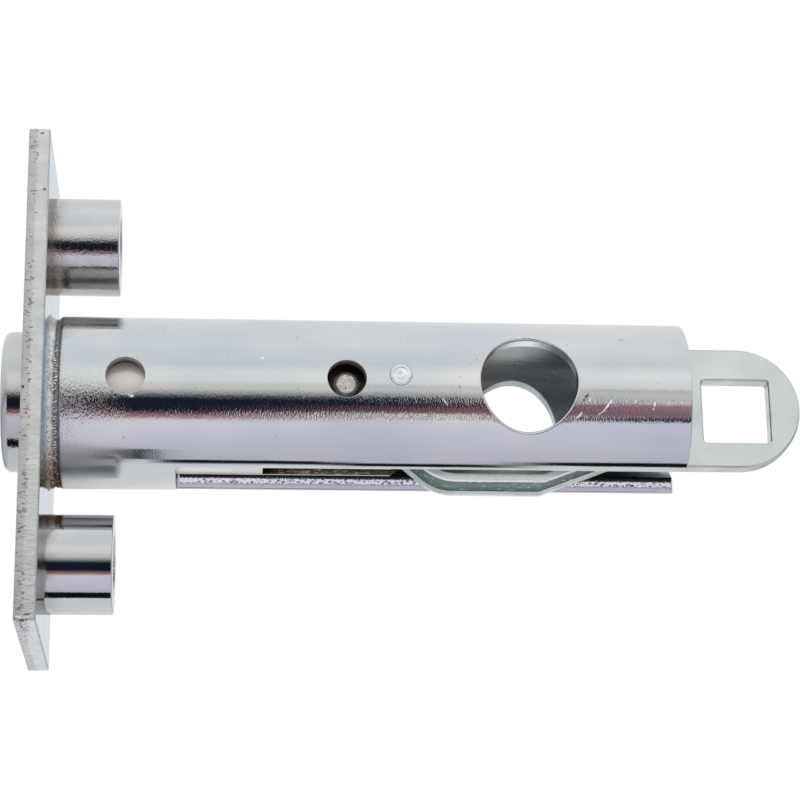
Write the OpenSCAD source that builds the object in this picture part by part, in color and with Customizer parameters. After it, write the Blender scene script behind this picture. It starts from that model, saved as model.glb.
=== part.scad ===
// Tubular door bolt. The origin is on the bolt's axis at the front face of the faceplate.
// +X runs back along the tube to the draw eye, so the bolt is thrown towards -X, and +Z is up.

/* [Faceplate] */
// Height of the faceplate
plate_h = 64; // [60:0.5:90]
// Width of the faceplate
plate_w = 27; // [25:0.5:40]
// Thickness of the faceplate
plate_t = 2.7; // [2.2:0.1:6]
// Depth of the seat that locates the tube in the back of the faceplate
seat_depth = 1.2; // [0.5:0.1:1.8]

/* [Fixing bosses] */
// Distance between the axes of the two bosses
boss_pitch = 42.8; // [41.5:0.1:46]
// Outer diameter of a boss
boss_d = 12.6; // [11.5:0.1:14]
// Length of a boss behind the faceplate
boss_len = 8.6; // [4:0.1:20]
// Core diameter of the M8 thread in a boss
thread_core_d = 6.8; // [4:0.1:8]
// Diameter of the spigot that is riveted into the faceplate
spigot_d = 10; // [9:0.1:11]
// Width of the bevel round the end of a boss
boss_bevel = 0.2; // [0.1:0.1:1]

/* [Guide tube] */
// Outer diameter of the guide tube
tube_d = 22; // [21:0.1:24]
// Wall of the guide tube
tube_wall = 2; // [1.5:0.1:2.5]
// Length of the tube behind the faceplate
tube_len = 81; // [76:0.1:110]
// Width of the slot along the bottom of the tube
slot_w = 9.2; // [8:0.1:11]
// Distance from the back of the faceplate to the closed end of the slot
slot_start = 16.2; // [6:0.1:19]
// Diameter of the small holes that the link pin is driven through
access_hole_d = 4.9; // [4.5:0.1:6]
// Diameter of the large cross hole
cross_hole_d = 12.2; // [8:0.1:12.8]
// Distance from the front of the faceplate to the large cross hole
cross_hole_x = 63.05; // [62:0.05:66]

/* [Tube weld] */
// Width of the bead that fills the groove between tube and faceplate
weld_w = 1.7; // [1:0.1:2.2]
// Depth of that groove, where the tube's end is turned down to fit its seat
groove_depth = 1; // [0.8:0.1:1.2]
// How far the hollow face of the bead lies inside the outside of the tube
weld_hollow = 0.5; // [0.2:0.1:0.6]

/* [Stop pin] */
// Diameter of the stop pin
stop_pin_d = 2.7; // [2:0.1:3.5]
// Distance from the stop pin to the middle of the large cross hole
stop_pin_lead = 16.2; // [15.5:0.05:17.5]
// Height of the stop pin above the bolt's axis
stop_pin_z = 0.5; // [0:0.1:1]
// How far the peened ends of the stop pin stand proud of the tube
stop_pin_proud = 0.3; // [0.1:0.05:0.6]
// Diameter of the punched dimple in each end of the stop pin
dimple_d = 1.1; // [0.5:0.1:1.4]

/* [Bolt] */
// How far the drawn bolt still stands out of the faceplate
nose_out = 2.95; // [0.5:0.05:6]
// Travel of the bolt from drawn to thrown
throw = 27.5; // [20:0.1:28]
// Radius of the rounded edge of the bolt's nose
nose_r = 1; // [0.5:0.1:3]
// Radial running clearance of the bolt in the tube
bolt_gap = 0.05; // [0.02:0.01:0.1]
// Length of the fork slot in the rear end of the bolt
fork_len = 17; // [16:0.1:19]
// Width of the bevel round the rear end of the bolt
bolt_bevel = 0.6; // [0.1:0.1:1]

/* [Link pin] */
// Diameter of the link pin
link_pin_d = 3.8; // [3:0.1:4.2]
// Distance from the rear end of the bolt to the link pin
link_setback = 6.75; // [6:0.05:7.5]
// Diameter of the recess round each end of the link pin
link_recess_d = 5.2; // [4.8:0.1:6]
// Depth of the recess round each end of the link pin
link_recess_depth = 2; // [0.5:0.1:3]

/* [Draw plate] */
// Thickness of the draw plate
draw_t = 2.3; // [1.5:0.1:3]
// Gap between the edge of the draw plate's tail and the bore of the tube
tail_gap = 0.9; // [0.7:0.1:2]
// Distance from the open end of the tube to the centre of the square eye
eye_reach = 7.65; // [6.5:0.05:14]
// Length of the square eye along the draw plate
eye_l = 8.8; // [6:0.1:9.2]
// Height of the square eye
eye_h = 8.45; // [6:0.05:9]
// How far the eye sits below the bolt's axis
eye_drop = 0.45; // [0:0.05:0.6]
// Distance from the centre of the eye to the centre of the rounded tip
tip_shift = 0.35; // [0:0.05:2]
// Height of the lug in the fork above the bolt's axis
lug_top = 5.5; // [4:0.1:7]
// Gap between the lower edge of the lug and the bore of the tube
lug_clear = 2.6; // [2.2:0.1:3.4]
// Height of the arm below the bolt's axis, where it passes under the stop pin
arm_top = 2.6; // [2.2:0.1:4]

/* [Guide strap] */
// Width of the guide strap
strap_w = 7.1; // [5:0.1:8]
// Thickness of the guide strap
strap_t = 1; // [0.8:0.1:1.5]
// Width of the rim along each side of the strap's pressed underside
strap_rim = 0.7; // [0.4:0.1:1.2]
// Depth of the pressed underside
press_depth = 0.5; // [0.2:0.1:0.6]
// How far the foot of the strap lies inside the outside of the tube
strap_inset = 0.1; // [0.05:0.05:0.6]
// Length of the flat foot of the strap
foot_len = 10.95; // [8:0.05:13]
// Distance from the start of the foot to the middle of the large cross hole
foot_lead = 8.65; // [7:0.05:10]
// Slope of the front ramp, in degrees
front_slope = 41; // [36:1:50]
// Slope of the rear ramp, in degrees
rear_slope = 21; // [18:1:30]
// Outer radius of the front bend
front_bend_r = 6.5; // [5:0.5:8.5]
// Outer radius of the rear bend
rear_bend_r = 2; // [1.6:0.1:4]

/* [Hidden] */

$fn = 96;

// Fits between pieces, in mm
seat_gap = 0.03;
spigot_gap = 0.02;
pin_gap = 0.01;
link_gap = 0.08;
fork_gap = 0.15;
plate_bore_gap = 0.1;
stop_gap = 0.1;
cross_gap = 0.4;
lug_gap = 0.35;
fork_floor_gap = 1.3;
link_end_gap = 0.15;
strap_tuck = 0.8;
// Cuts run this far past the faces that they open
cut = 1;

stop_pin_x = cross_hole_x - stop_pin_lead;
tube_r = tube_d / 2;
bore_r = tube_r - tube_wall;
bolt_r = bore_r - bolt_gap;
tube_front = plate_t - seat_depth;
seat_r = tube_r - groove_depth;
groove_x = plate_t + weld_w;
tube_end = plate_t + tube_len;
slot_x = plate_t + slot_start;
bolt_front = -nose_out;
// The drawn bolt nests on the stop pin, which lies in a half-round notch in its rear end
bolt_rear = stop_pin_x;
link_x = bolt_rear - link_setback;
fork_x = bolt_rear - fork_len;
fork_w = draw_t + 2 * fork_gap;
eye_x = tube_end + eye_reach;
tip_x = eye_x + tip_shift;
tail_r = bore_r - tail_gap;
lug_bottom = bore_r - lug_clear;
// The tail's edge meets the stop pin when the bolt is thrown
tail_x = stop_pin_x + stop_pin_d / 2 + throw + stop_gap;
lug_front = fork_x + fork_floor_gap;
lug_rear = stop_pin_x - stop_pin_d / 2 - lug_gap;

// Foot and bends of the guide strap
foot_z = -(tube_r - strap_inset);
foot_x0 = cross_hole_x - foot_lead;
foot_x1 = foot_x0 + foot_len;
front_z = -lug_bottom - strap_t * cos(front_slope);
rear_z = -tail_r + strap_tuck;
bend_steps = 8;

// Rounded and peened ends of the turned pieces
nose_steps = 6;
link_dome = 0.7;
peen_bevel = 0.3;
peen_rise = stop_pin_proud * 0.7;
dimple_depth = dimple_d / 3;
bead_steps = 6;
bead_toe = 0.3;
groove_bevel = 0.4;

// Arm of the draw plate where it dips under the large cross hole
dip_top = -(cross_hole_d / 2 + cross_gap);
dip_x0 = cross_hole_x - cross_hole_d / 2 - cross_gap;
dip_x1 = cross_hole_x + cross_hole_d / 2 + cross_gap;
dip_run = 1.6;

// Outside of the strap at depth d inside its lower face, from the front end to the rear end
function strap_line(d) =
    let (r0 = front_bend_r - d,
         r1 = rear_bend_r - d,
         c0 = [foot_x0, foot_z + front_bend_r],
         c1 = [foot_x1, foot_z + rear_bend_r],
         p0 = c0 + r0 * [-sin(front_slope), -cos(front_slope)],
         p1 = c1 + r1 * [sin(rear_slope), -cos(rear_slope)],
         run0 = (front_z - (c0[1] - front_bend_r * cos(front_slope))) / sin(front_slope),
         run1 = (rear_z - (c1[1] - rear_bend_r * cos(rear_slope))) / sin(rear_slope))
    concat([p0 + run0 * [-cos(front_slope), sin(front_slope)]],
           [for (i = [0 : bend_steps])
               let (a = -front_slope * (1 - i / bend_steps))
               c0 + r0 * [sin(a), -cos(a)]],
           [for (i = [0 : bend_steps])
               let (a = rear_slope * i / bend_steps)
               c1 + r1 * [sin(a), -cos(a)]],
           [p1 + run1 * [cos(rear_slope), sin(rear_slope)]]);

function reversed(list) = [for (i = [len(list) - 1 : -1 : 0]) list[i]];

// A cylinder along X from x0 to x1
module rod_x(x0, x1, r) {
    translate([x0, 0, 0]) rotate([0, 90, 0]) cylinder(h = x1 - x0, r = r);
}

// A cylinder along Y, centred on the XZ plane
module rod_y(x, z, length, r) {
    translate([x, length / 2, z]) rotate([90, 0, 0]) cylinder(h = length, r = r);
}

// An outline in the XZ plane made a plate of thickness t, centred on y = 0
module upright_plate(t) {
    translate([0, t / 2, 0]) rotate([90, 0, 0]) linear_extrude(height = t) children();
}

// A body turned about the X axis from an outline of [x, radius] points
module turned_x(points) {
    rotate([0, 90, 0]) rotate_extrude() polygon([for (p = points) [p[1], p[0]]]);
}

module faceplate() {
    color("gainsboro") difference() {
        translate([0, -plate_w / 2, -plate_h / 2]) cube([plate_t, plate_w, plate_h]);
        rod_x(-cut, plate_t + cut, bolt_r + plate_bore_gap);
        rod_x(tube_front, plate_t + cut, seat_r + seat_gap);
        for (side = [-1, 1])
            translate([0, 0, side * boss_pitch / 2])
                rod_x(-cut, plate_t + cut, spigot_d / 2 + spigot_gap);
    }
}

// A threaded boss with its spigot through the faceplate
module boss() {
    core_r = thread_core_d / 2;
    end_x = plate_t + boss_len;
    color("silver") turned_x([
        [boss_bevel, core_r],
        [0, core_r + boss_bevel],
        [0, spigot_d / 2],
        [plate_t, spigot_d / 2],
        [plate_t, boss_d / 2],
        [end_x - boss_bevel, boss_d / 2],
        [end_x, boss_d / 2 - boss_bevel],
        [end_x, core_r + boss_bevel],
        [end_x - boss_bevel, core_r]]);
}

module upper_boss() {
    translate([0, 0, boss_pitch / 2]) boss();
}

module lower_boss() {
    translate([0, 0, -boss_pitch / 2]) boss();
}

module guide_tube() {
    color("lightsteelblue") difference() {
        turned_x([
            [tube_front, 0],
            [tube_front, seat_r],
            [groove_x - groove_bevel, seat_r],
            [groove_x, tube_r],
            [tube_end, tube_r],
            [tube_end, 0]]);
        rod_x(tube_front - cut, tube_end + cut, bore_r);
        translate([slot_x, -slot_w / 2, -tube_r - cut])
            cube([tube_end - slot_x + cut, slot_w, tube_r + cut]);
        rod_y(cross_hole_x, 0, tube_d + 2 * cut, cross_hole_d / 2);
        rod_y(link_x, 0, tube_d + 2 * cut, access_hole_d / 2);
        rod_y(link_x - throw, 0, tube_d + 2 * cut, access_hole_d / 2);
        rod_y(stop_pin_x, stop_pin_z, tube_d + 2 * cut, stop_pin_d / 2 + pin_gap);
    }
}

// A weld bead whose hollow face lies between a toe on the faceplate and the outside of the tube
module tube_weld() {
    face = [for (i = [0 : bead_steps])
        let (t = i / bead_steps)
        [plate_t + (weld_w - pin_gap) * t,
         tube_r + bead_toe * (1 - t) * (1 - t) - weld_hollow * sin(180 * t)]];
    color("rosybrown") turned_x(concat([[plate_t, seat_r + pin_gap]], face,
        [[groove_x - pin_gap - groove_bevel, seat_r + pin_gap]]));
}

module stop_pin() {
    half = tube_r + stop_pin_proud;
    r = stop_pin_d / 2;
    color("whitesmoke") translate([stop_pin_x, 0, stop_pin_z]) rotate([90, 0, 0])
        rotate_extrude() polygon([
            [0, -half + dimple_depth],
            [dimple_d / 2, -half],
            [r - peen_bevel, -half],
            [r, -half + peen_rise],
            [r, half - peen_rise],
            [r - peen_bevel, half],
            [dimple_d / 2, half],
            [0, half - dimple_depth]]);
}

module bolt() {
    nose = [for (i = [0 : nose_steps])
        let (a = 90 * i / nose_steps)
        [bolt_front + nose_r * (1 - sin(a)), bolt_r - nose_r * (1 - cos(a))]];
    color("darkkhaki") difference() {
        turned_x(concat([[bolt_front, 0]], reversed(nose),
            [[bolt_rear - bolt_bevel, bolt_r], [bolt_rear, bolt_r - bolt_bevel], [bolt_rear, 0]]));
        translate([fork_x, -fork_w / 2, -bolt_r - cut])
            cube([fork_len + cut, fork_w, 2 * (bolt_r + cut)]);
        rod_y(link_x, 0, 2 * (bolt_r + cut), link_pin_d / 2 + pin_gap);
        rod_y(stop_pin_x, stop_pin_z, 2 * (bolt_r + cut), stop_pin_d / 2 + stop_gap);
        for (side = [-1, 1])
            translate([0, side * (bolt_r - link_recess_depth / 2 + cut / 2), 0])
                rod_y(link_x, 0, link_recess_depth + cut, link_recess_d / 2);
    }
}

module link_pin() {
    half = bolt_r - link_end_gap;
    dome = [for (i = [0 : nose_steps])
        let (a = 90 * i / nose_steps)
        [link_pin_d / 2 * sin(a), half - link_dome * (1 - cos(a))]];
    color("dimgray") translate([link_x, 0, 0]) rotate([90, 0, 0]) rotate_extrude()
        polygon(concat(dome, [for (p = reversed(dome)) [p[0], -p[1]]]));
}

// Side view of the draw plate: lug, arm, dip under the cross hole, and tail
module draw_outline() {
    top = strap_line(strap_t);
    strap_end = strap_line(0)[len(top) - 1];
    difference() {
        union() {
            polygon(concat(
                [[lug_front, lug_top], [lug_front, -lug_bottom]],
                top,
                [strap_end, [strap_end[0], -tail_r], [tip_x, -tail_r], [tip_x, tail_r],
                 [tail_x, tail_r],
                 [tail_x, -arm_top], [dip_x1 + dip_run, -arm_top], [dip_x1, dip_top],
                 [dip_x0, dip_top], [dip_x0 - dip_run, -arm_top], [lug_rear, -arm_top],
                 [lug_rear, lug_top]]));
            translate([tip_x, 0]) circle(r = tail_r);
        }
        translate([eye_x - eye_l / 2, -eye_drop - eye_h / 2]) square([eye_l, eye_h]);
        translate([link_x, 0]) circle(r = link_pin_d / 2 + link_gap);
    }
}

module draw_plate() {
    color("honeydew") upright_plate(draw_t) draw_outline();
}

// The underside is pressed hollow between two rims, from the front bend to the rear end
module guide_strap() {
    low = strap_line(0);
    high = strap_line(press_depth);
    color("darkseagreen") difference() {
        upright_plate(strap_w) polygon(concat(low, reversed(strap_line(strap_t))));
        upright_plate(strap_w - 2 * strap_rim)
            polygon(concat(
                [for (i = [1 : len(low) - 1]) low[i] - [0, cut]],
                [[low[len(low) - 1][0] + cut, high[len(low) - 1][1]]],
                [for (i = [len(high) - 1 : -1 : 1]) high[i]]));
    }
}

faceplate();
upper_boss();
lower_boss();
guide_tube();
tube_weld();
stop_pin();
bolt();
link_pin();
draw_plate();
guide_strap();
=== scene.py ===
import math

import bmesh
import bpy
from mathutils import Matrix, Vector, kdtree, noise
from mathutils.geometry import delaunay_2d_cdt


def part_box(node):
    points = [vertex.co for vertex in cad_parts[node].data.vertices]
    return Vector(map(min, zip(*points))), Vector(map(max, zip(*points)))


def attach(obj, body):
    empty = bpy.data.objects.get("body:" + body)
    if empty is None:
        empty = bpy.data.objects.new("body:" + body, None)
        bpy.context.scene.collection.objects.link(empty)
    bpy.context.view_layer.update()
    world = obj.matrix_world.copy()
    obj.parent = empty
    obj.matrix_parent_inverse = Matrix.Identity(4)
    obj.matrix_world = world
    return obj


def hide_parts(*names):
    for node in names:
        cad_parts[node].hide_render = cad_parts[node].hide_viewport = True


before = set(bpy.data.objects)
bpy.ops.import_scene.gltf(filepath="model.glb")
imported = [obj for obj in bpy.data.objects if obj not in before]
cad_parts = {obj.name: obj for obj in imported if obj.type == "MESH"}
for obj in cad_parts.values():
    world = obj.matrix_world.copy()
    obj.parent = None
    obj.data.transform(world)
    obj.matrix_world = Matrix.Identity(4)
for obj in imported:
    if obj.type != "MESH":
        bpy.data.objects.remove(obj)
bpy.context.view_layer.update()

# Shapes are worked out in millimetres and made in metres
MM = 0.001
X, Y, Z = 0, 1, 2
AXIS_X = Vector((1, 0, 0))
AXIS_Z = Vector((0, 0, 1))
# CAD points closer than this, in metres, are one
MERGE = 1e-6


def in_mm(box):
    return [Vector(corner) / MM for corner in box]


plate_lo, plate_hi = in_mm(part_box("faceplate"))
tube_lo, tube_hi = in_mm(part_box("guide_tube"))
bolt_lo, bolt_hi = in_mm(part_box("bolt"))
draw_lo, draw_hi = in_mm(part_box("draw_plate"))
strap_lo, strap_hi = in_mm(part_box("guide_strap"))
pin_lo, pin_hi = in_mm(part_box("stop_pin"))
link_lo, link_hi = in_mm(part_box("link_pin"))
boss_lo, boss_hi = in_mm(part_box("upper_boss"))

PLATE_BACK = plate_hi.x
PLATE_EDGE, PLATE_CORNER = 0.28, 0.35
TUBE_R = tube_hi.z
TUBE_WALL = 2.0
BORE_R = TUBE_R - TUBE_WALL
TUBE_FRONT = tube_lo.x
TUBE_END = tube_hi.x
# The weld lies in a groove that is turned into the tube's front, down to its neck
NECK_R = TUBE_R - 1.0
GROOVE_X = PLATE_BACK + 1.7
GROOVE_BEVEL = 0.4
SHOULDER_EDGE = 0.45
SLOT_X = PLATE_BACK + 16.2
SLOT_HALF = 4.6
SLOT_EDGE = 0.17
# Burrs hang at this height on the slot's walls, whose normals have more Y than SIDEWAYS
BURR_Z = -8.85
SIDEWAYS = 0.7
CROSS_X = 63.05
CROSS_R = 6.1
CROSS_EDGE = 0.28
ACCESS_R = 2.45
DRILLED_EDGE = 0.04
THROW = 27.5
LINK_X = (link_lo.x + link_hi.x) / 2
LINK_R = (link_hi.x - link_lo.x) / 2
LINK_BORE_R = 1.91
RECESS_R = 2.6
STOP_X = (pin_lo.x + pin_hi.x) / 2
STOP_Z = (pin_lo.z + pin_hi.z) / 2
STOP_R = (pin_hi.x - pin_lo.x) / 2
STOP_PLAY = 0.03
STOP_EDGE = 0.05
BOLT_R = bolt_hi.z
BOLT_NECK_X = 5.0
NOSE_R = 1.0
FORK_X = 29.85
FORK_HALF = 1.3
BOSS_Z = (boss_lo.z + boss_hi.z) / 2
BOSS_R = (boss_hi.z - boss_lo.z) / 2
SPIGOT_R = 5
THREAD_R = 3.4
THREAD_PITCH = 1.25
THREAD_LEAD = 0.5
THREAD_START = 0.7
THREAD_CREST = 0.42
DRAW_EDGE, DRAW_CORNER = 0.28, 0.45
# The strap's flat foot, about the cross hole, its two ramps and its pressed underside
FOOT_START, FOOT_END = CROSS_X - 8.65, CROSS_X + 2.3
FRONT_SLOPE, REAR_SLOPE = math.radians(41), math.radians(21)
FRONT_BEND, REAR_BEND = 6.5, 2.0
STRAP_T = 1.0
STRAP_RIM = 0.7
STRAP_PRESS = 0.5


# Shape tools

def total(vectors):
    return sum(vectors, Vector((0, 0, 0)))


def spoke(angle):
    """The direction off the X axis at an angle from the top."""
    return Vector((0, math.sin(angle), math.cos(angle)))


def radial(point):
    return Vector((0, point[1], point[2])).normalized()


class Skin:
    """Faces that carry the true normal at each corner, so that bright metal mirrors without facets."""

    # Corners are one when they agree to 1/5000 mm; faces under the least area are left out
    PER_MM = 5000
    SLIVER = 1e-7
    # Inner points keep this far from a border, and flattened points closer than CLOSE are one
    KEEP_OFF = 0.35
    CLOSE = 1e-9

    def __init__(self):
        self.points = []
        self.known = {}
        self.faces = []
        self.normals = []
        self.finish = []
        self.current = 0

    def face(self, corners):
        """Adds a face of (point, normal) corners, turned so that it looks the way its normals do."""
        ids = []
        normals = []
        for point, normal in corners:
            key = tuple(round(c * self.PER_MM) for c in point)
            if key not in self.known:
                self.known[key] = len(self.points)
                self.points.append(Vector(point))
            if self.known[key] not in ids:
                ids.append(self.known[key])
                normals.append(Vector(normal))
        if len(ids) < 3:
            return
        first = self.points[ids[0]]
        flat = total((self.points[a] - first).cross(self.points[b] - first) for a, b in zip(ids[1:], ids[2:]))
        if flat.length < self.SLIVER:
            return
        if flat.dot(total(normals)) < 0:
            ids.reverse()
            normals.reverse()
        self.faces.append(ids)
        self.normals.extend(normals)
        self.finish.append(self.current)

    def columns(self, columns, closed=True, finish_of=None):
        """Joins neighbouring columns of corners with quads."""
        ahead = columns[1:] + (columns[:1] if closed else [])
        for here, there in zip(columns, ahead):
            for i in range(len(here) - 1):
                if finish_of:
                    self.current = finish_of(here[i], here[i + 1])
                self.face([here[i], here[i + 1], there[i + 1], there[i]])

    def sheet(self, borders, inner, flatten):
        """Fills the surface between closed borders of corners, by way of its flattened form."""
        corners = [corner for border in borders for corner in border]
        edges = []
        for border in borders:
            start, count = len(edges), len(border)
            edges += [(start + i, start + (i + 1) % count) for i in range(count)]
        tree = kdtree.KDTree(len(corners))
        for i, (point, _) in enumerate(corners):
            tree.insert(point, i)
        tree.balance()
        corners += [corner for corner in inner if tree.find(corner[0])[2] > self.KEEP_OFF]
        flat = [Vector(flatten(point)) for point, _ in corners]
        border_of = [i for i, border in enumerate(borders) for _ in border] + [-1] * len(inner)
        outermost = border_of[max(range(len(edges)), key=lambda i: flat[i].length)]
        result = delaunay_2d_cdt(flat, edges, [], 2, self.CLOSE)
        source = [found[0] if found else None for found in result[3]]
        for tri in result[2]:
            if any(source[i] is None for i in tri):
                continue
            # A triangle that spans one hole's border only lies in the hole
            around = {border_of[source[i]] for i in tri}
            if len(around) > 1 or around & {-1, outermost}:
                self.face([corners[source[i]] for i in tri])

    def build(self, name, body, materials, slot, *nodes):
        mesh = bpy.data.meshes.new(name)
        mesh.from_pydata([p * MM for p in self.points], [], self.faces)
        mesh.polygons.foreach_set("use_smooth", [True] * len(self.faces))
        mesh.polygons.foreach_set("material_index", self.finish)
        mesh.normals_split_custom_set([n.normalized() for n in self.normals])
        settle(name, mesh, body, materials, slot, *nodes)


def in_scene(name, data):
    """A new object with its data, linked to the scene."""
    made = bpy.data.objects.new(name, data)
    bpy.context.scene.collection.objects.link(made)
    return made


def settle(name, mesh, body, materials, slot, *nodes):
    """Makes a mesh a piece that rides on a body and stands for CAD nodes."""
    for material in materials:
        mesh.materials.append(material)
    piece = in_scene(name, mesh)
    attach(piece, body)
    if nodes:
        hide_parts(*nodes)


def edge_arc(point, first, second, radius, steps=4):
    """Corners round an outer edge, from one face's normal to the other's."""
    centre = point - (first + second) * (radius / (1 + first.dot(second)))
    arc = [first.slerp(second, i / steps, first) for i in range(steps + 1)]
    return [(centre + radius * normal, normal) for normal in arc]


def wall_columns(samples, radius):
    """Rounded walls between two faces, from samples of (near point and normal, wall normal, far ones)."""
    return [edge_arc(near, near_n, wall_n, radius) + edge_arc(far, wall_n, far_n, radius)
            for near, near_n, wall_n, far, far_n in samples]


def round_profile(profile, steps=5):
    """Rows of (along, radius, normal) for a turned section of (along, radius, rounding) corners."""
    points = [Vector(p[:2]) for p in profile]
    ways = [(b - a).normalized() for a, b in zip(points, points[1:])]
    normals = [Vector((-w.y, w.x)) for w in ways]
    rows = [(points[0], normals[0])]
    for i in range(1, len(points) - 1):
        before, after = normals[i - 1], normals[i]
        rounding = profile[i][2]
        if not rounding:
            rows += [(points[i], before), (points[i], after)]
            continue
        side = 1 if ways[i - 1].cross(ways[i]) < 0 else -1
        centre = points[i] - (before + after) * (side * rounding / (1 + before.dot(after)))
        for k in range(steps + 1):
            normal = before.slerp(after, k / steps, before)
            rows.append((centre + side * rounding * normal, normal))
    rows.append((points[-1], normals[-1]))
    return rows


def turned(skin, profile, place, count=128):
    """Turns a section about the X axis and puts it at its place."""
    rows = round_profile(profile)
    turn = place.to_3x3()
    outs = [spoke(2 * math.pi * k / count) for k in range(count)]
    skin.columns([[(place @ (AXIS_X * p.x + out * p.y), turn @ (AXIS_X * n.x + out * n.y)) for p, n in rows]
                  for out in outs])


def outline_loops(node, axis, level, slack=0.002):
    """Borders of the flat face of a CAD node that lies at a level on an axis."""
    bm = bmesh.new()
    bm.from_mesh(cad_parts[node].data)
    bmesh.ops.remove_doubles(bm, verts=bm.verts, dist=MERGE)
    flat = [f for f in bm.faces if all(abs(v.co[axis] / MM - level) < slack for v in f.verts)]
    inside = set(flat)
    ahead = {}
    for face in flat:
        for loop in face.loops:
            if sum(f in inside for f in loop.edge.link_faces) == 1:
                ahead[loop.vert] = loop.link_loop_next.vert
    loops = []
    while ahead:
        vert = next(iter(ahead))
        chain = []
        while vert in ahead:
            chain.append(vert.co / MM)
            vert = ahead.pop(vert)
        loops.append(chain)
    bm.free()
    return [[Vector((p[(axis + 1) % 3], p[(axis + 2) % 3])) for p in chain] for chain in loops]


def soften(loop, radius, sharp=math.radians(25), most=0.45, steps=5):
    """Rounds the sharp corners of a flat outline, each by the most part of its sides at most."""
    result = []
    count = len(loop)
    for i, point in enumerate(loop):
        into = point - loop[i - 1]
        out = loop[(i + 1) % count] - point
        turn = abs(into.angle_signed(out, 0))
        if turn < sharp:
            result.append(point)
            continue
        reach = min(radius * math.tan(turn / 2), most * into.length, most * out.length)
        start = point - into.normalized() * reach
        end = point + out.normalized() * reach
        for k in range(steps + 1):
            t = k / steps
            result.append(start * (1 - t) ** 2 + point * (2 * t * (1 - t)) + end * t ** 2)
    return result


def flat_part(name, node, axis, level, thickness, edge, corner, body, materials, slot):
    """A plate with rounded edges, from the outline of a CAD node's flat face. Its walls have the second material."""
    def lift(u, v, w):
        place = [0, 0, 0]
        place[axis], place[(axis + 1) % 3], place[(axis + 2) % 3] = w, u, v
        return Vector(place)
    skin = Skin()
    up = lift(0, 0, 1)
    walls = []
    for loop in outline_loops(node, axis, level):
        loop = soften(loop, corner)
        samples = []
        for i, point in enumerate(loop):
            into = (point - loop[i - 1]).normalized()
            out = (loop[(i + 1) % len(loop)] - point).normalized()
            way = (into + out).normalized()
            samples.append((lift(point.x, point.y, level), up, lift(way.y, -way.x, 0),
                            lift(point.x, point.y, level - thickness), -up))
        walls.append(wall_columns(samples, edge))
        skin.current = 1
        skin.columns(walls[-1])
    skin.current = 0
    for row in (0, -1):
        skin.sheet([[column[row] for column in columns] for columns in walls], [],
                   lambda p: (p[(axis + 1) % 3], p[(axis + 2) % 3]))
    skin.build(name, body, materials, slot, node)


def dressed(name, node, surfaces, materials, slot, body, finish_of, cut_x):
    """A merged copy of a CAD node, cut across at one X, whose round faces get their true normals."""
    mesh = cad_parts[node].data.copy()
    bm = bmesh.new()
    bm.from_mesh(mesh)
    bmesh.ops.remove_doubles(bm, verts=bm.verts, dist=MERGE)
    bmesh.ops.bisect_plane(bm, geom=bm.verts[:] + bm.edges[:] + bm.faces[:], plane_co=AXIS_X * cut_x * MM,
                           plane_no=AXIS_X)
    bm.to_mesh(mesh)
    bm.free()
    mesh.materials.clear()
    off, agree = 0.01, 0.9
    normals = []
    for poly in mesh.polygons:
        corners = [mesh.vertices[v].co / MM for v in poly.vertices]
        flat = poly.normal.copy()
        chosen = [flat] * len(corners)
        for surface in surfaces:
            found = [surface(c) for c in corners]
            if all(abs(gap) < off and n.dot(flat) > agree for gap, n in found):
                chosen = [n for _, n in found]
                break
        normals += chosen
        poly.use_smooth = True
        poly.material_index = finish_of(total(corners) / len(corners))
    mesh.normals_split_custom_set(normals)
    settle(name, mesh, body, materials, slot, node)


# Material tools

WHITE = "#FFFFFF"
EVEN = (1, 1, 1)
STROKE_DEPTH = 0.012


def linear(code):
    """An sRGB hex colour as linear red, green, blue and alpha."""
    parts = [int(code[i:i + 2], 16) / 255 for i in (1, 3, 5)]
    return [c / 12.92 if c <= 0.04045 else ((c + 0.055) / 1.055) ** 2.4 for c in parts] + [1]


def add(tree, kind, inputs=None, **settings):
    """Adds a node with its settings, its input values and the links into it."""
    node = tree.nodes.new(kind)
    for key, value in settings.items():
        setattr(node, key, value)
    for key, value in (inputs or {}).items():
        if isinstance(value, bpy.types.NodeSocket):
            tree.links.new(value, node.inputs[key])
        else:
            node.inputs[key].default_value = value
    return node


def cleared(owner):
    """The node tree of a material or a world, without its first nodes."""
    owner.use_nodes = True
    owner.node_tree.nodes.clear()
    return owner.node_tree


def bands(tree, factor, stops):
    """A ramp through (position, hex colour) stops."""
    ramp = add(tree, "ShaderNodeValToRGB", {"Fac": factor})
    points = ramp.color_ramp.elements
    points[0].position, points[0].color = stops[0][0], linear(stops[0][1])
    points[1].position, points[1].color = stops[-1][0], linear(stops[-1][1])
    for position, colour in stops[1:-1]:
        points.new(position).color = linear(colour)
    return ramp.outputs["Color"]


def maths(tree, operation, *values, **settings):
    return add(tree, "ShaderNodeMath", dict(enumerate(values)), operation=operation, **settings).outputs[0]


def span(tree, value, low, high, first=0.0, last=1.0):
    """Maps a value from low and high to first and last, and holds it there."""
    return add(tree, "ShaderNodeMapRange", {"Value": value, "From Min": low, "From Max": high,
                                            "To Min": first, "To Max": last}).outputs[0]


def mix(tree, share, under, over, blend="MIX"):
    """Lays a colour over another by a share. Either is a socket or a hex colour."""
    under, over = (linear(c) if isinstance(c, str) else c for c in (under, over))
    return add(tree, "ShaderNodeMix", {0: share, 6: under, 7: over}, data_type="RGBA", blend_type=blend).outputs[2]


def part_of(tree, vector, axis):
    return add(tree, "ShaderNodeSeparateXYZ", {0: vector}).outputs[axis]


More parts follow.
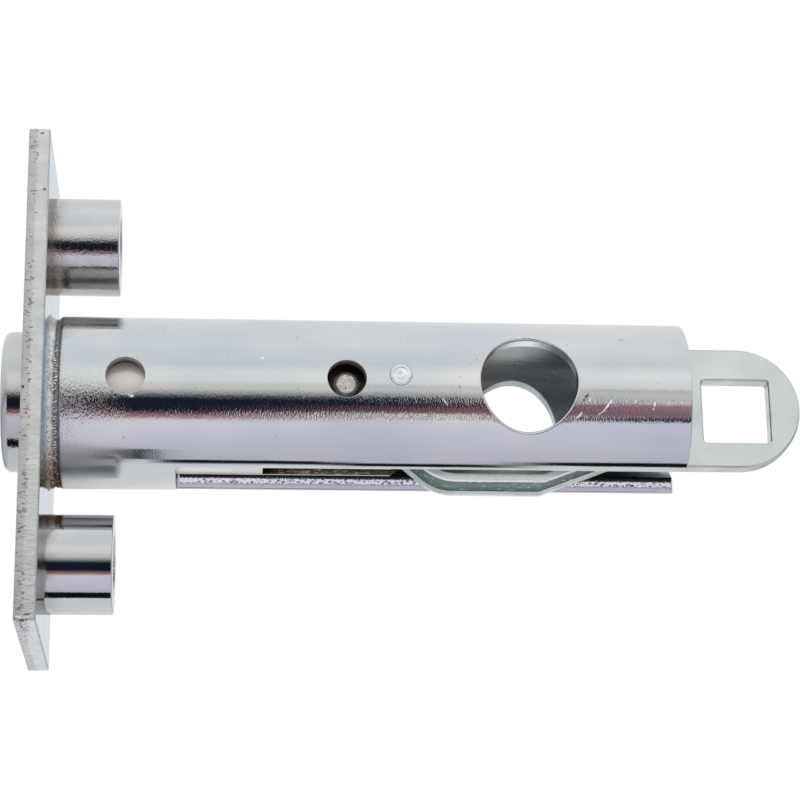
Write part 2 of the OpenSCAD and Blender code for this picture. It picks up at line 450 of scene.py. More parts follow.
def speckle(tree, at, size, stretch=EVEN, detail=2.0, low=0.3, high=0.7):
    """Noise whose spots are about size mm wide, longer by the stretch along each axis."""
    scale = [1 / (size * MM * s) for s in stretch]
    moved = add(tree, "ShaderNodeMapping", {"Vector": at, "Scale": scale})
    clouds = add(tree, "ShaderNodeTexNoise", {"Vector": moved.outputs[0], "Scale": 1.0, "Detail": detail})
    return span(tree, clouds.outputs["Fac"], low, high)


def stroke_mask(tree, at, x, z, length, width, slope, reach=12, ragged=0.8):
    """One where a single stroke with a ragged edge runs over the near side, otherwise nothing.
    Strokes serve as scratches and nicks, and as painted glints and highlights.
    """
    local = add(tree, "ShaderNodeMapping", {
        "Vector": at, "Location": (x * MM, -reach * MM, z * MM), "Rotation": (0, -math.radians(slope), 0),
        "Scale": (length / 2 * MM, reach * MM, width / 2 * MM)}, vector_type="TEXTURE")
    off = add(tree, "ShaderNodeVectorMath", {0: local.outputs[0]}, operation="LENGTH").outputs["Value"]
    return span(tree, maths(tree, "MULTIPLY_ADD", speckle(tree, at, 0.3), ragged, off), 1.15, 0.85)


def metal(name, clean, dull, rough, patch, grain, stretch=EVEN, relief=0.003, heat=None, marks=None, scratch=None,
          gains=(), layers=(), pits=None, strokes=(), metallic=1.0, haze=None):
    """Plated or bare metal. Places and sizes are in mm, axes are X, Y or Z.
    clean and dull change over in patches, and rough is the least and greatest roughness.
    grain, stretch and relief are the size, stretch and height of the finest relief.
    haze is (X from, X to, height off the middle from, to, roughness) of a duller zone above and below.
    gains are (axis, from, to, gain at from, gain at to) that make the grain stronger or weaker along an axis.
    marks is (size, stretch, depth) of a coarser tool mark, scratch is (size, stretch, depth, colour).
    pits is (size, stretch, least, depth, colour, greatest X if any) of small nicks.
    strokes are single marks on the near side, some scratches and nicks, some painted glints and highlights, each
    (X, Z, length, width, slope in degrees, colour).
    layers are (axis, from, to, wobble, wobble size, stops) of tones that follow each other along an axis.
    heat is (X, reach, colour, share) of a heat tint along X."""
    material = bpy.data.materials.new(name)
    tree = cleared(material)
    at = add(tree, "ShaderNodeTexCoord").outputs["Object"]
    colour = mix(tree, speckle(tree, at, patch, (2, 1, 1)), clean, dull)
    roughness = span(tree, speckle(tree, at, patch * 0.7), 0, 1, *rough)
    height = maths(tree, "MULTIPLY", speckle(tree, at, grain, stretch, 1.0), relief * MM)
    shine = metallic

    def carved(mask, depth, tone):
        """The height and colour after the mask has sunk and tinted them."""
        return maths(tree, "ADD", height, maths(tree, "MULTIPLY", mask, -depth * MM)), mix(tree, mask, colour, tone)

    if haze:
        left, right, low, high, extra = haze
        near = span(tree, part_of(tree, at, X), left * MM, right * MM, extra, 0)
        outer = span(tree, maths(tree, "ABSOLUTE", part_of(tree, at, Z)), low * MM, high * MM)
        roughness = maths(tree, "MULTIPLY_ADD", near, outer, roughness)
    for axis, start, end, first, last in gains:
        gain = span(tree, part_of(tree, at, axis), start * MM, end * MM, first, last)
        height = maths(tree, "MULTIPLY", height, gain)
    if marks:
        size, pull, depth = marks
        height = maths(tree, "MULTIPLY_ADD", speckle(tree, at, size, pull), depth * MM, height)
    if scratch:
        size, pull, depth, tone = scratch
        height, colour = carved(speckle(tree, at, size, pull, 0.0, 0.66, 0.70), depth, tone)
    if pits:
        size, pull, least, depth, tone, *limit = pits
        holes = speckle(tree, at, size, pull, 1.0, least, least + 0.02)
        if limit:
            holes = maths(tree, "MULTIPLY", holes, maths(tree, "LESS_THAN", part_of(tree, at, X), limit[0] * MM))
        height, colour = carved(holes, depth, tone)
    for *stroke, tone in strokes:
        mask = stroke_mask(tree, at, *stroke)
        shine = maths(tree, "SUBTRACT", shine, mask, use_clamp=True)
        height, colour = carved(mask, STROKE_DEPTH, tone)
    for axis, start, end, wobble, size, stops in layers:
        moved = maths(tree, "MULTIPLY_ADD", speckle(tree, at, size), wobble * MM, part_of(tree, at, axis))
        colour = mix(tree, 1.0, colour, bands(tree, span(tree, moved, start * MM, end * MM), stops), "MULTIPLY")
    if heat:
        place, reach, tone, share = heat
        near = span(tree, part_of(tree, at, X), place * MM, (place + reach) * MM, share, 0)
        spots = speckle(tree, at, 2.0, EVEN, 3.0, 0.25, 0.6)
        colour = mix(tree, maths(tree, "MULTIPLY", near, spots), colour, tone)
    bump = add(tree, "ShaderNodeBump", {"Strength": 1.0, "Distance": 1.0, "Height": height})
    shader = add(tree, "ShaderNodeBsdfPrincipled", {"Base Color": colour, "Roughness": roughness,
                                                    "Normal": bump.outputs[0], "Metallic": shine})
    add(tree, "ShaderNodeOutputMaterial", {0: shader.outputs[0]})
    return material


# Bright zinc on drawn tube: a mirror whose slight ripple breaks up the edges of dark bands, grainy near the weld and
# calm on the underside, with a few scratches round the cross hole. The ripple is coarser than the real one, to show
bright_tube = metal(
    "bright_zinc_on_drawn_tube", "#EAEAE8", "#D4DAE0", (0.03, 0.06), 9, 0.22, (0.7, 1.6, 1.6), 0.0038,
    haze=(6.5, 14.5, 7.0, 8.3, 0.32), heat=(3.9, 1.2, "#B79C84", 0.35), marks=(5, (1.6, 1, 1), 0.006),
    gains=[(X, 3.5, 13.5, 8, 1), (Z, -8.4, -6.8, 0.07, 1), (Z, 1, 4, 1, 0.4)],
    pits=(0.45, EVEN, 0.79, 0.02, "#8A8C90"),
    strokes=[(73.0, -2.9, 3.2, 0.34, 53, "#F7F7F7"), (70.1, -2.1, 1.7, 0.5, 55, "#4C4A50"),
             (70.6, -2.4, 1.2, 0.25, 62, "#F4F4F4"), (69.2, -4.4, 2.2, 0.3, 45, "#E4E4E8"),
             (72.1, -3.9, 1.6, 0.22, 40, "#C9C4CC"), (78.8, -3.0, 1.5, 0.34, 75, "#F4F4F4"),
             (76.4, -2.5, 0.8, 0.3, 80, "#EDEDED"), (80.6, -2.7, 0.7, 0.25, 85, "#E9E4E6"),
             (82.3, -2.6, 0.8, 0.22, 88, "#E4DEE0"), (75.2, -2.4, 0.6, 0.22, 85, "#EFEFEF"),
             (54.2, -1.0, 1.1, 0.22, -60, "#3A3A40"), (55.0, -2.9, 1.3, 0.2, -55, "#6A6662"),
             (48.6, -2.6, 1.3, 0.2, -60, "#8A8580"), (52.4, -2.9, 1.4, 0.2, -50, "#F4F4F4"),
             (13.4, -2.6, 1.0, 0.5, 0, "#F2F2F2"), (29.6, 2.6, 0.8, 0.4, 20, "#F2F2F2"),
             (75.1, 6.3, 1.6, 0.8, 0, "#B5B5B5"), (62.9, 6.35, 1.1, 0.3, 0, "#26272A")])
# The same zinc inside the tube, left duller by the drawing mandrel. Painted shade darkens it low beside the slot
# and toward the top, and painted warm and cool reflections tint the far wall about the cross hole
tube_bore = metal(
    "dull_zinc_in_tube_bore_painted_shade", "#F4FAFF", "#E2EBF1", (0.26, 0.38), 5, 0.3, (4, 1, 1), 0.008,
    layers=[(Z, -8.6, -5.2, 0.4, 1.5, [(0, "#33393A"), (0.5, "#5A6062"), (1, WHITE)]),
            (Z, 1.0, 8.0, 1.2, 2.0, [(0, WHITE), (0.35, "#F0F0F0"), (0.7, "#DCDAD8"), (1, "#C8C4C0")]),
            (X, 57.5, 68.5, 1.5, 2.5, [(0, WHITE), (0.25, "#FFF6EA"), (0.55, "#FAFAFA"), (0.8, "#EEF4F8"),
                                       (1, WHITE)])])
# The cross hole's wall: bright on top, with painted shade that darkens the side that faces the tube's end
cross_wall = metal(
    "zinc_in_cross_hole_painted_shade", WHITE, "#F4F5F6", (0.12, 0.2), 2, 0.25, EVEN, 0.006,
    layers=[(X, 64.0, 68.8, 0.3, 0.5, [(0, WHITE), (0.25, "#B8BABC"), (0.55, "#5E646A"), (1, "#4A5157")])])
# Drilled wall: bare and brownish, with a dark line at its outer edge, a painted highlight band partway in and
# painted black shadow of the gap at its inner end
drilled_wall = metal(
    "drilled_steel_wall_painted_light", "#E6D8D0", "#A3958D", (0.16, 0.3), 1.2, 0.25, (2, 1, 2), 0.006, metallic=0.6,
    layers=[(Y, -10.95, -8.6, 0.08, 0.3, [(0, "#56504E"), (0.06, "#D8CCC4"), (0.3, WHITE), (0.55, "#C8BCB4"),
                                          (0.76, "#9C9088"), (0.82, "#0E0D0D"), (1, "#080808")])])
# Punched slot wall: smooth below, then a torn white line, then shadowed
slot_wall = metal(
    "punched_slot_wall", WHITE, "#F2F2F6", (0.12, 0.22), 4, 0.2, (1.5, 1, 1), 0.01,
    layers=[(Z, -9.8, -7.6, 0.32, 0.2, [(0, "#DCDCE0"), (0.34, "#D0D0D6"), (0.38, "#5C5C64"), (0.41, WHITE),
                                        (0.66, WHITE), (0.7, "#62605E"), (0.76, "#2A2A2A"), (1, "#0C0C0C")])])
# Bright zinc on turned bar: sharp mirror bands with faint turning rings
turned_zinc = metal(
    "bright_zinc_on_turned_bar", "#E2E2E2", "#D2D5D8", (0.03, 0.05), 5, 0.14, (1.2, 1.2, 1.2), 0.0006,
    heat=(2.7, 2.2, "#A98260", 0.45), gains=[(X, 2.7, 6.7, 3, 1)], marks=(2.5, EVEN, 0.003),
    pits=(0.4, EVEN, 0.8, 0.02, "#6F7073"))
# The upper boss's coarser bar, with more heat tint on its lower side, next to the weld
grainy_zinc = metal(
    "bright_zinc_on_grainy_bar", "#E2E2E2", "#D2D5D8", (0.04, 0.08), 5, 0.2, (1, 1.3, 1.3), 0.0075,
    heat=(2.7, 2.6, "#A37F60", 0.5), marks=(2.5, EVEN, 0.004),
    layers=[(Z, 14.5, 19.0, 1.5, 1.2, [(0, "#E4D6CA"), (0.5, "#F0E6DE"), (1, WHITE)])])
# Zinc deep in the cut thread: grey and satin, so that the turns stand out
thread_zinc = metal("zinc_in_cut_thread", "#A5A6A8", "#7E8083", (0.2, 0.35), 2, 0.2)
# Rolled zinc-plated flat: soft sheen with a cool cast
plate_face = metal("zinc_on_rolled_flat", "#D6DDE0", "#C6D0D5", (0.08, 0.16), 8, 0.4,
                   scratch=(0.3, (1, 9, 1), 0.001, "#DDE2E4"))
# Its sawn edge: matt, one half torn by the saw and the other smooth with fine chatter marks
plate_edge = metal(
    "zinc_on_sawn_edge", WHITE, "#F2F2F1", (0.3, 0.42), 2, 0.16, (1.6, 1, 1), 0.006,
    marks=(0.5, (1.6, 2, 0.8), 0.02), pits=(0.36, (1.7, 1, 0.9), 0.63, 0.02, "#BCBAB8", 1.3),
    # Strokes are nicks at the plate's corners and edges; the white one at the bottom corner is a painted glint on its
    # nick
    strokes=[(0.75, -31.5, 1.3, 0.5, -8, WHITE), (1.7, -31.2, 1.5, 0.4, 8, "#6E6D6A"),
             (1.2, -31.9, 2.2, 0.35, 0, "#55524F"), (1.6, 31.3, 1.0, 0.3, 0, "#5A5D60"),
             (2.1, 23.6, 0.7, 0.5, 30, "#77787A"), (0.3, -2.6, 0.5, 0.8, 20, "#4A4642"),
             (0.4, -21.0, 0.7, 0.4, 10, "#5A5650")],
    layers=[(X, 0, 2.7, 0.2, 0.4, [(0, "#E6E5E4"), (0.40, "#ECEBEA"), (0.46, WHITE), (0.94, WHITE), (1, "#DCE4EA")]),
            (Z, -32.0, -31.4, 0.1, 0.3, [(0, WHITE), (1, "#E7E7E6")])])
# Weld bead under the plating, smooth at the top and burnt at the bottom. Across it run painted light and shade: a
# cool painted reflection of the plate beside it, a pale painted lit band, then grey painted shade beside the tube
weld_grit = metal(
    "plated_weld_bead_painted_shade", WHITE, "#E9E6E2", (0.22, 0.4), 0.7, 0.2, EVEN, 0.02, metallic=0.35, gains=[(Z, 3, 6, 1, 0.2)],
    layers=[(X, 2.7, 4.6, 0.3, 0.3, [(0, "#B4C2D0"), (0.2, "#C8D2DC"), (0.3, WHITE), (0.55, WHITE),
                                     (0.64, "#B0B2B6"), (0.9, "#9C9EA2"), (1, "#C8C8C8")]),
            (Z, -11.5, -5.0, 2.0, 0.8, [(0, "#8A6E54"), (0.3, "#B89C80"), (0.6, "#F8F4F0"), (0.9, WHITE),
                                        (1, WHITE)])])
# Grit in the bead: faceted and bright, so that it sparkles, but burnt at the bottom too
weld_spark = metal(
    "bright_zinc_on_weld_grit", WHITE, "#F0EEEA", (0.05, 0.12), 0.7, 0.2, metallic=0.6,
    layers=[(Z, -11.5, -5.0, 2.0, 0.8, [(0, "#7C6046"), (0.3, "#A98D72"), (0.6, "#F4EEE8"), (0.9, WHITE),
                                        (1, WHITE)])])
# Peened pin end: bright with hammered spots
peened = metal("bright_zinc_on_peened_pin", WHITE, "#E2E5E8", (0.14, 0.24), 1.2, 0.3, metallic=0.6)
# Ground bar with bright plating: grey mirror bands with slightly ragged edges
bolt_bright = metal("bright_plate_on_ground_bar", "#D6D6D6", "#CBCBCA", (0.05, 0.1), 6, 0.24, EVEN, 0.0045,
                    marks=(2.5, EVEN, 0.004))
# The bar behind its nose: ground but hardly plated, a dull pale grey
bolt_dull = metal("dull_ground_bar", "#F6F3F1", "#E4E0DD", (0.24, 0.36), 4, 0.2, (0.6, 3, 3), metallic=0.5)
# Milled steel in the fork, left unplated: grey brown with light tool scribbles. Painted shade darkens it higher up
# the slot and toward the fork's closed end, and painted light brightens the slot's lower edge
fork_raw = metal(
    "bare_fork_steel_painted_shade", "#AEA798", "#746C60", (0.3, 0.5), 1.6, 0.25, (4, 1, 0.7), 0.012, metallic=0.35,
    pits=(0.3, (3, 1, 0.6), 0.58, 0.0, WHITE),
    layers=[(Z, -8.8, -7.4, 0.5, 0.4, [(0, WHITE), (0.35, "#E4DCCC"), (0.8, "#7A6E5C"), (1, "#4A4238")]),
            (X, 30.0, 45.0, 2.5, 0.8, [(0, "#4A3A32"), (0.16, "#7C6A5C"), (0.36, "#E8DED0"), (0.6, WHITE),
                                       (1, "#DCE0D2")])])
# Counterbores round the pin: bare steel, kept dark as painted shade in the recess
recess_steel = metal("recess_in_bar_painted_shade", "#6A625E", "#45403D", (0.3, 0.45), 2, 0.25, EVEN, 0.006)
# Hard pin, unplated: dark grey round the rim, mottled on its dome, with two painted highlights low on the dome
# and a painted dark mark between them
link_steel = metal(
    "hardened_pin_steel_painted_highlights", "#F4F0EA", "#B4AEA7", (0.16, 0.26), 0.6, 0.3, EVEN, 0.03, metallic=0.6,
    strokes=[(39.5, -0.75, 0.6, 0.5, 0, WHITE), (40.65, -0.75, 0.6, 0.55, 0, WHITE),
             (40.05, -0.55, 0.8, 0.22, 90, "#5A5652")])
# Stamped strip with pale passivated zinc: even, matt, slightly green
pale_zinc = metal("pale_zinc_on_stamped_plate", "#ECF1EE", "#DDE5E3", (0.26, 0.36), 6, 0.25, (2, 1, 1), 0.004,
                  pits=(0.3, EVEN, 0.8, 0.02, "#9AA09F"))
# Its sheared edge: a little greyer and shinier, with marks across the edge
pale_edge = metal("pale_zinc_on_sheared_edge", "#E8EBE9", "#CDD3D1", (0.18, 0.3), 2, 0.2, (1, 4, 1), 0.006)
# The bent strip: the same zinc, mottled more finely
strap_zinc = metal("pale_zinc_on_bent_strip", "#EDF1EF", "#D9E0DD", (0.24, 0.34), 2, 0.3, (3, 1, 1), 0.005,
                   metallic=0.4)
# Underside of the strip, in its pressed hollow: dark green, with a few scratches
strap_under = metal("dark_green_under_strip", "#55706B", "#3F564F", (0.3, 0.42), 1.2, 0.3, (2, 1, 1), 0.005,
                    metallic=0.25, scratch=(0.3, (3, 2, 1), 0.001, "#8DA29D"))


# Guide tube: two walls filled between borders, with rounded rims at every hole, slot and end

def hole_samples(x, z, radius, side, count):
    """A round hole through the near (-1) or far (1) side of the tube's wall."""
    samples = []
    for k in range(count):
        angle = 2 * math.pi * k / count
        px = x + radius * math.cos(angle)
        pz = z + radius * math.sin(angle)
        near = Vector((px, side * math.sqrt(TUBE_R ** 2 - pz ** 2), pz))
        far = Vector((px, side * math.sqrt(BORE_R ** 2 - pz ** 2), pz))
        inward = Vector((-math.cos(angle), 0, -math.sin(angle)))
        samples.append((near, radial(near), inward, far, -radial(far)))
    return samples


def slot_samples(corner=0.5, step=0.8, steps=5, end_steps=72):
    """The slot's closed end and sides, and the open end of the tube, as one border."""
    def floor_point(x, y, wall):
        near = Vector((x, y, -math.sqrt(TUBE_R ** 2 - y ** 2)))
        far = Vector((x, y, -math.sqrt(BORE_R ** 2 - y ** 2)))
        return near, radial(near), Vector(wall), far, -radial(far)
    half = [floor_point(SLOT_X, (SLOT_HALF - corner) * k / (steps + 1), (1, 0, 0)) for k in range(steps + 1)]
    turns = [(math.cos(a), math.sin(a)) for a in (math.pi / 2 * k / steps for k in range(steps + 1))]
    half += [floor_point(SLOT_X + corner * (1 - c), SLOT_HALF - corner * (1 - s), (c, -s, 0)) for c, s in turns]
    count = int((TUBE_END - SLOT_X) / step)
    straight = TUBE_END - SLOT_X - 2 * corner
    half += [floor_point(SLOT_X + corner + straight * k / count, SLOT_HALF, (0, -1, 0)) for k in range(1, count)]
    half += [floor_point(TUBE_END - corner * (1 - s), SLOT_HALF + corner * (1 - c), (s, -c, 0)) for c, s in turns]
    start_near, start_far = (math.pi - math.asin((SLOT_HALF + corner) / r) for r in (TUBE_R, BORE_R))
    for k in range(1, end_steps + 1):
        t = 1 - k / end_steps
        near = AXIS_X * TUBE_END + spoke(start_near * t) * TUBE_R
        far = AXIS_X * TUBE_END + spoke(start_far * t) * BORE_R
        half.append((near, radial(near), AXIS_X, far, -radial(far)))
    flip = Matrix.Diagonal((1, -1, 1))
    mirrored = [tuple(flip @ v for v in sample) for sample in half[1:-1]]
    return half + mirrored[::-1]


def leaning(rows, lean=0.7):
    """Rows of the punched wall with their normals turned down, because the punch drew it over."""
    return [(p, (n - AXIS_Z * lean).normalized()) if abs(n.y) > SIDEWAYS else (p, n) for p, n in rows]


def make_tube(around=180, spacing=1.1, punch_reach=0.6):
    outside, bore, drilled_side, punched, crossed = range(5)

    def slot_finish(here, _):
        """Only the slot's own walls look punched, not the end of the tube."""
        beside_slot = abs(here[0].y) < SLOT_HALF + punch_reach
        return punched if beside_slot and abs(here[1].y) > SIDEWAYS else outside

    skin = Skin()
    holes = [(CROSS_X, 0, CROSS_R, 128, CROSS_EDGE, crossed), (LINK_X, 0, ACCESS_R, 80, DRILLED_EDGE, drilled_side),
             (LINK_X - THROW, 0, ACCESS_R, 80, DRILLED_EDGE, drilled_side),
             (STOP_X, STOP_Z, STOP_R + STOP_PLAY, 48, STOP_EDGE, drilled_side)]
    # The first corners of a column round the outer edge, the others are the wall and its inner edge
    rim = 5
    loops = []
    for x, z, r, count, edge, near_finish in holes:
        for side in (-1, 1):
            columns = wall_columns(hole_samples(x, z, r, side, count), edge)
            skin.current = outside
            skin.columns([c[:rim] for c in columns])
            far_finish = bore if near_finish == crossed else outside
            skin.current = near_finish if side < 0 else far_finish
            skin.columns([c[rim - 1:] for c in columns])
            loops.append(columns)
    slot = wall_columns(slot_samples(), SLOT_EDGE)
    skin.current = outside
    skin.columns([c[:rim] for c in slot])
    skin.columns([leaning(c[rim - 1:rim + 1]) + c[rim + 1:] for c in slot], finish_of=slot_finish)
    skin.current = outside
    loops.append(slot)
    front = []
    bevel = AXIS_Z * GROOVE_BEVEL - AXIS_X * (TUBE_R - NECK_R)
    for k in range(around):
        turn = Matrix.Rotation(2 * math.pi * k / around, 3, "X")
        out = turn @ AXIS_Z
        slope = (turn @ bevel).normalized()
        shoulder = edge_arc(AXIS_X * GROOVE_X + out * TUBE_R, out, slope, SHOULDER_EDGE)
        neck = [(AXIS_X * x + out * r, normal) for x, r, normal in (
            (GROOVE_X - GROOVE_BEVEL, NECK_R, slope), (GROOVE_X - GROOVE_BEVEL, NECK_R, out),
            (TUBE_FRONT, NECK_R, out), (TUBE_FRONT, NECK_R, -AXIS_X),
            (TUBE_FRONT, BORE_R, -AXIS_X), (TUBE_FRONT, BORE_R, -out))]
        front.append(shoulder + neck)
    skin.columns(front)

    def grid(radius, x0, inward, hole_gap=0.7, slot_gap=0.3):
        """Points spread over a wall, clear of its holes and its slot."""
        points = []
        steps = int((TUBE_END - x0) / spacing)
        for i in range(1, steps):
            x = x0 + (TUBE_END - x0) * i / steps
            for k in range(around):
                out = spoke(math.radians(2 * k + (i % 2)))
                if out.z < 0 and abs(out.y) * radius < SLOT_HALF + slot_gap and x > SLOT_X - slot_gap:
                    continue
                if any(math.hypot(x - hx, out.z * radius - hz) < hr + hole_gap for hx, hz, hr, *_ in holes):
                    continue
                points.append((AXIS_X * x + out * radius, -out if inward else out))
        return points

    def unrolled(point):
        """The wall spread out as a flat ring, its far end outermost."""
        reach = 20 + 0.5 * point.x
        angle = math.atan2(point.y, point.z)
        return reach * math.cos(angle), reach * math.sin(angle)

    skin.sheet([[c[0] for c in columns] for columns in loops + [front]], grid(TUBE_R, GROOVE_X, False), unrolled)
    skin.current = bore
    skin.sheet([[c[-1] for c in columns] for columns in loops + [front]], grid(BORE_R, TUBE_FRONT, True), unrolled)
    skin.build("drawn_guide_tube", "housing", [bright_tube, tube_bore, drilled_wall, slot_wall, cross_wall],
               "bright_tube", "guide_tube")


make_tube()

# Faceplate and bosses

flat_part("sawn_faceplate", "faceplate", X, PLATE_BACK, PLATE_BACK - plate_lo.x, PLATE_EDGE, PLATE_CORNER,
          "housing", [plate_face, plate_edge], "zinc_bar")

for name, node, side, finish in (("turned_upper_boss", "upper_boss", 1, grainy_zinc),
                                 ("turned_lower_boss", "lower_boss", -1, turned_zinc)):
    skin = Skin()
    place = Matrix.Translation((0, 0, side * BOSS_Z))
    mouth = THREAD_R + THREAD_LEAD
    back = boss_hi.x
    turned(skin, [(THREAD_LEAD, THREAD_R, 0), (0, mouth, 0), (0, SPIGOT_R, 0), (PLATE_BACK, SPIGOT_R, 0),
                  (PLATE_BACK, BOSS_R, 0), (back, BOSS_R, 0.18), (back, mouth, 0.05),
                  (back - THREAD_LEAD, THREAD_R, 0)], place)
    skin.current = 1
    turned(skin, [(back - THREAD_LEAD, THREAD_R, 0), (THREAD_LEAD, THREAD_R, 0)], place, 64)
    skin.build(name, "housing", [finish, thread_zinc], "turned_zinc", node)


# Pins across the tube, the same at both ends

def make_pin(name, x, z, end, body, material, slot, node):
    """A pin from the section of one end, from its middle to its side."""
    skin = Skin()
    section = [(-a, r, f) for a, r, f in end] + [(a, r, f) for a, r, f in reversed(end)]
    turned(skin, section, Matrix.Translation((x, 0, z)) @ Matrix.Rotation(math.radians(90), 4, "Z"), 64)
    skin.build(name, body, [material], slot, node)


half = pin_hi.y
make_pin("peened_stop_pin", STOP_X, STOP_Z, [
    (half - 0.12, 0.001, 0), (half - 0.04, 0.42, 0.2), (half - 0.1, 0.84, 0.1), (half - 0.04, 1.06, 0.08),
    (half - 0.3, STOP_R, 0.05)], "housing", peened, "peened_pin", "stop_pin")
half = link_hi.y
make_pin("domed_link_pin", LINK_X, 0, [
    (half, 0.001, 0), (half - 0.05, 1.25, 0.4), (half - 0.4, 1.66, 0.2), (half - 1.15, 1.76, 0.05),
    (half - 1.25, LINK_R, 0.2)], "bolt_body", link_steel, "link_steel", "link_pin")


# Bolt: the CAD form with true normals on its bar, nose and drilled holes

def bar_normal(point):
    return (math.hypot(point.y, point.z) - BOLT_R, radial(point))


def nose_normal(point, slack=0.01):
    centre = Vector((bolt_lo.x + NOSE_R, 0, 0)) + radial(point) * (BOLT_R - NOSE_R)
    away = point - centre
    return (away.length - NOSE_R if point.x < bolt_lo.x + NOSE_R + slack else 1, away.normalized())


def drilled(radius):
    def normal(point):
        away = Vector((LINK_X - point.x, 0, -point.z))
        return (away.length - radius, away.normalized())
    return normal


def bolt_finish(centre, slack=0.05):
    """Which material a face of the bolt has, by its centre."""
    bright, fork, dull, recess = range(4)
    if abs(centre.y) < FORK_HALF + slack and centre.x > FORK_X - slack:
        return fork
    if math.hypot(centre.x - LINK_X, centre.z) < RECESS_R + slack and centre.x < bolt_hi.x:
        return recess
    return dull if centre.x > BOLT_NECK_X else bright


dressed("ground_bolt", "bolt", [nose_normal, bar_normal, drilled(RECESS_R), drilled(LINK_BORE_R)],
        [bolt_bright, fork_raw, bolt_dull, recess_steel], "bolt_steel", "bolt_body", bolt_finish, BOLT_NECK_X)

# Draw plate

flat_part("stamped_draw_plate", "draw_plate", Y, draw_hi.y, draw_hi.y - draw_lo.y, DRAW_EDGE, DRAW_CORNER,
          "draw_bar", [pale_zinc, pale_edge], "pale_zinc")


# Guide strap: a bent strip whose underside is pressed hollow between two rims

def strap_stations():
    """Points on the lower face with their upward directions, from the lug to the tail."""
    stations = []
    for x, radius, first, last, steps in ((FOOT_START, FRONT_BEND, -FRONT_SLOPE, 0, 12),
                                          (FOOT_END, REAR_BEND, 0, REAR_SLOPE, 8)):
        for k in range(steps + 1):
            angle = first + (last - first) * k / steps
            up = Vector((-math.sin(angle), 0, math.cos(angle)))
            stations.append((Vector((x, 0, strap_lo.z + radius)) - up * radius, up))
    ends = []
    for (point, up), end_x in ((stations[0], strap_lo.x), (stations[-1], strap_hi.x)):
        along = Vector((up.z, 0, -up.x))
        ends.append((point + along * ((end_x - point.x) / along.x), up))
    return [ends[0]] + stations + [ends[1]]


def make_strap(edge=0.2, press_edge=0.12, press_slope=0.25, margin=0.15):
    half = strap_hi.y
    side = [(half, STRAP_T, edge), (half, 0, edge), (half - STRAP_RIM, 0, press_edge),
            (half - STRAP_RIM - press_slope, STRAP_PRESS, press_edge)]
    rows = round_profile([(0, STRAP_T, 0)] + side + [(-y, z, f) for y, z, f in reversed(side)] + [(0, STRAP_T, 0)])
    columns = [[(point + up * p.y + Vector((0, p.x, 0)), up * n.y + Vector((0, n.x, 0))) for p, n in rows]
               for point, up in strap_stations()]
    skin = Skin()

    def under(here, there):
        inside = max(abs(here[0].y), abs(there[0].y)) < half - STRAP_RIM - margin
        return 1 if inside and here[1].z < 0 else 0
    skin.columns(columns, False, under)
    skin.current = 0
    for column, way in ((columns[0], -AXIS_X), (columns[-1], AXIS_X)):
        skin.face([(p, way) for p, _ in column])
    skin.build("bent_guide_strap", "draw_bar", [strap_zinc, strap_under], "strap_zinc", "guide_strap")


make_strap()

# Weld bead, with its uneven hollow face. Between these heights its grit and lumps fade to their least
CALM_TO, CALM_FROM = 3, 6


def make_bead(steps=14, around=420, gap=0.02, lip=0.3, sag=0.5, least=0.15):
    """The bead's face sags in the middle and is lumpy and gritty, less so at the top."""
    def bumps(depth, along, across):
        return depth * noise.noise(Vector((t * along, across * out.y, across * out.z)))
    start, end = PLATE_BACK, GROOVE_X - gap
    neck = NECK_R + gap
    columns = []
    for k in range(around):
        out = spoke(2 * math.pi * k / around)
        column = [AXIS_X * start + out * neck]
        for i in range(steps + 1):
            t = i / steps
            swell = math.sin(math.pi * t)
            calm = min(max((CALM_FROM - TUBE_R * out.z) / (CALM_FROM - CALM_TO), least), 1)
            relief = bumps(0.12, 3, 9) + bumps(0.07, 9, 38)
            radius = TUBE_R + lip * (1 - t) ** 2 - sag * swell + swell * calm * relief
            column.append(AXIS_X * (start + (end - start) * t) + out * radius)
        column.append(AXIS_X * (end - GROOVE_BEVEL) + out * neck)
        columns.append(column + column[:1])
    skin = Skin()
    for here, there in zip(columns, columns[1:] + columns[:1]):
        for i in range(len(here) - 1):
            corners = [here[i], there[i], there[i + 1], here[i + 1]]
            flat = (corners[2] - corners[0]).cross(corners[3] - corners[1])
            centre = total(corners) / 4
            # A point well inside the bead tells which way is out
            if flat.dot(centre - AXIS_X * (start + 0.6) - radial(centre) * (NECK_R + 0.4)) < 0:
                flat = -flat
            skin.face([(c, flat.normalized()) for c in corners])
    skin.build("weld_bead", "housing", [weld_grit], "plated_weld", "tube_weld")


make_bead()


# Repeated forms by Geometry Nodes: weld grit, burrs along the slot, thread turns

def node_tree(name, sizes):
    """A geometry node tree with named size inputs. Returns it with its input and output nodes."""
    tree = bpy.data.node_groups.new(name, "GeometryNodeTree")
    for label, kind in sizes:
        tree.interface.new_socket(label, in_out="INPUT", socket_type=kind)
    tree.interface.new_socket("Geometry", in_out="OUTPUT", socket_type="NodeSocketGeometry")
    return tree, add(tree, "NodeGroupInput"), add(tree, "NodeGroupOutput")


def grow(name, tree, values, body, material, slot):
    """Runs a tree on an empty mesh and keeps the result as a plain mesh."""
    holder = in_scene(name + "_source", bpy.data.meshes.new(name + "_source"))
    modifier = holder.modifiers.new("grow", "NODES")
    modifier.node_group = tree
    for item in tree.interface.items_tree:
        if item.in_out == "INPUT":
            modifier[item.identifier] = values[item.name]
    result = holder.evaluated_get(bpy.context.evaluated_depsgraph_get())
    mesh = bpy.data.meshes.new_from_object(result)
    mesh.name = name
    holder.modifiers.remove(modifier)
    bpy.data.objects.remove(holder)
    mesh.materials.clear()
    settle(name, mesh, body, [material], slot)


